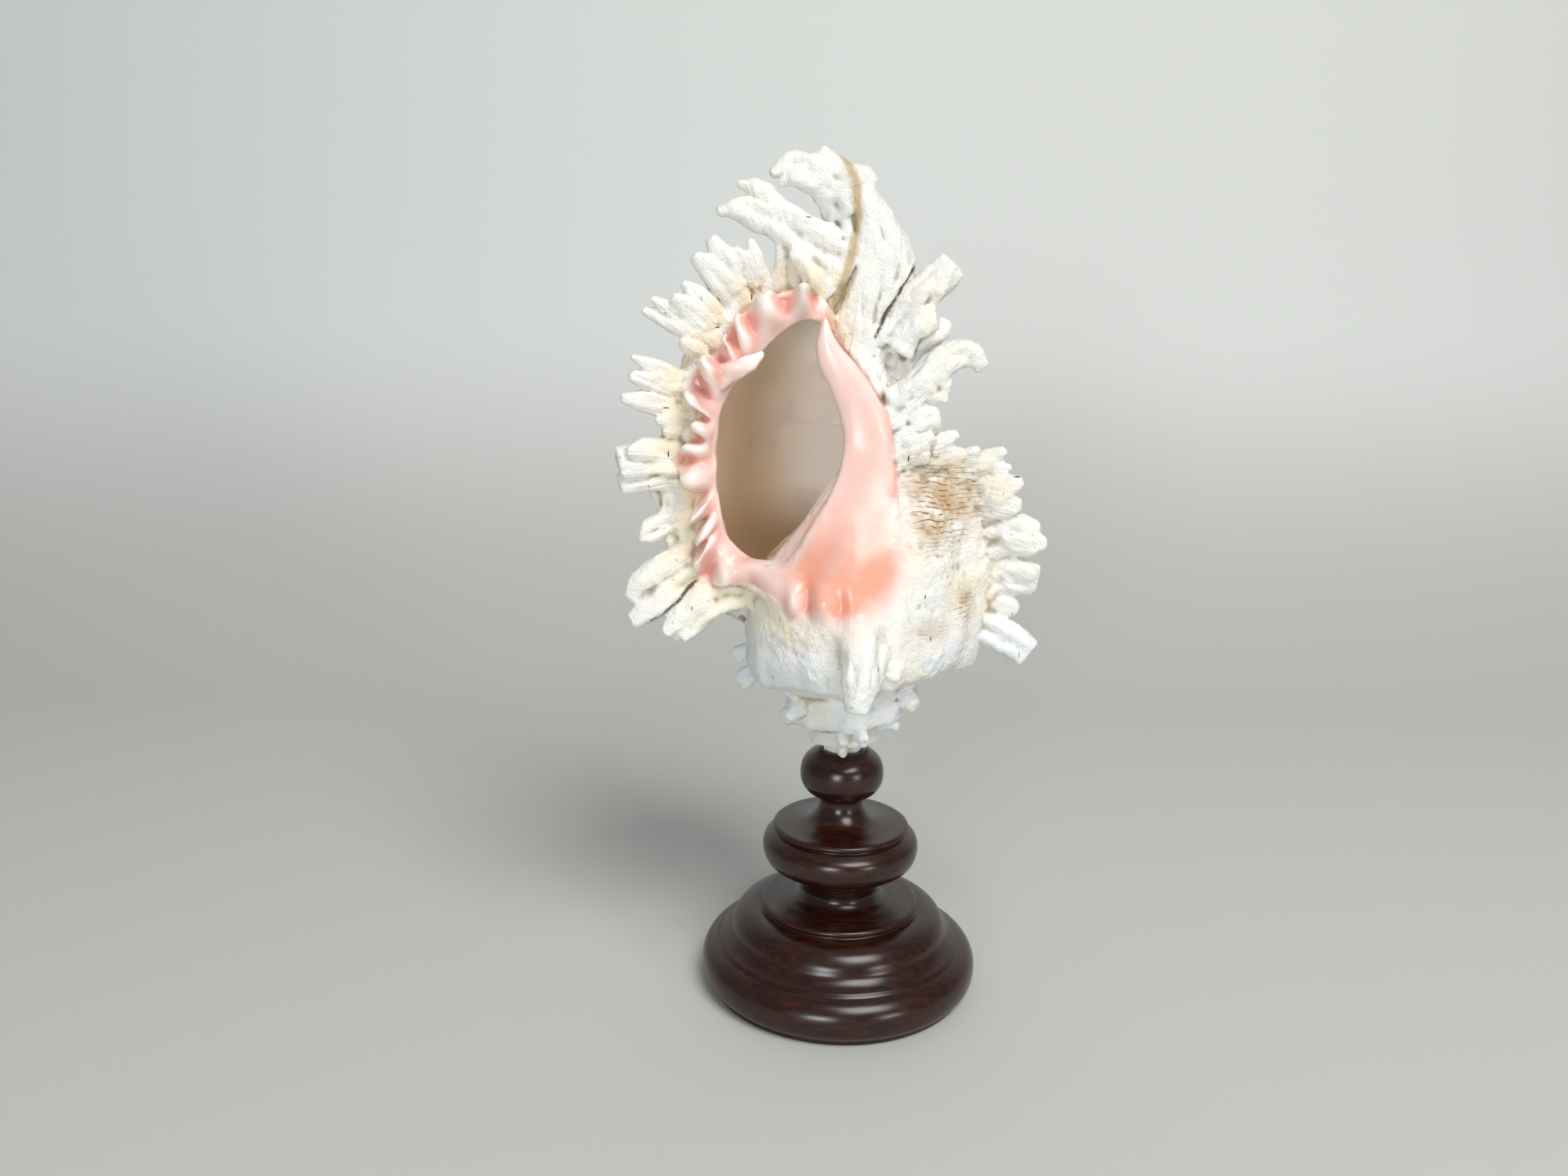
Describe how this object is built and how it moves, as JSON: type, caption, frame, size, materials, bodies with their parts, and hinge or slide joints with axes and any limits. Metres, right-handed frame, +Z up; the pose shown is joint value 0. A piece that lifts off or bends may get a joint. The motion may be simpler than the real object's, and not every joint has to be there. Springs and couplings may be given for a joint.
{
  "type": "murex shell on a turned wooden stand",
  "caption": "Spiny murex shell with a pink crenulated lip, standing apex down on a turned dark wood stand.",
  "frame": {"origin": "centre of the underside of the stand's foot", "axes": "+Z up along the stand's turning axis, towards the shell's canal; -Y is the side that the shell's mouth faces; +X is to the right of someone looking into the mouth"},
  "size_m": [0.1473, 0.1153, 0.29],
  "materials": {
    "stand_wood": "turned hardwood, dark reddish brown, polished to a satin gloss",
    "shell": "chalky cream-white calcium carbonate, with a porcelain-smooth pink lip"
  },
  "bodies": {
    "root": {"stand_foot": "stand_wood", "stand_spindle": "stand_wood", "shell": "shell"}
  },
  "joints": []
}
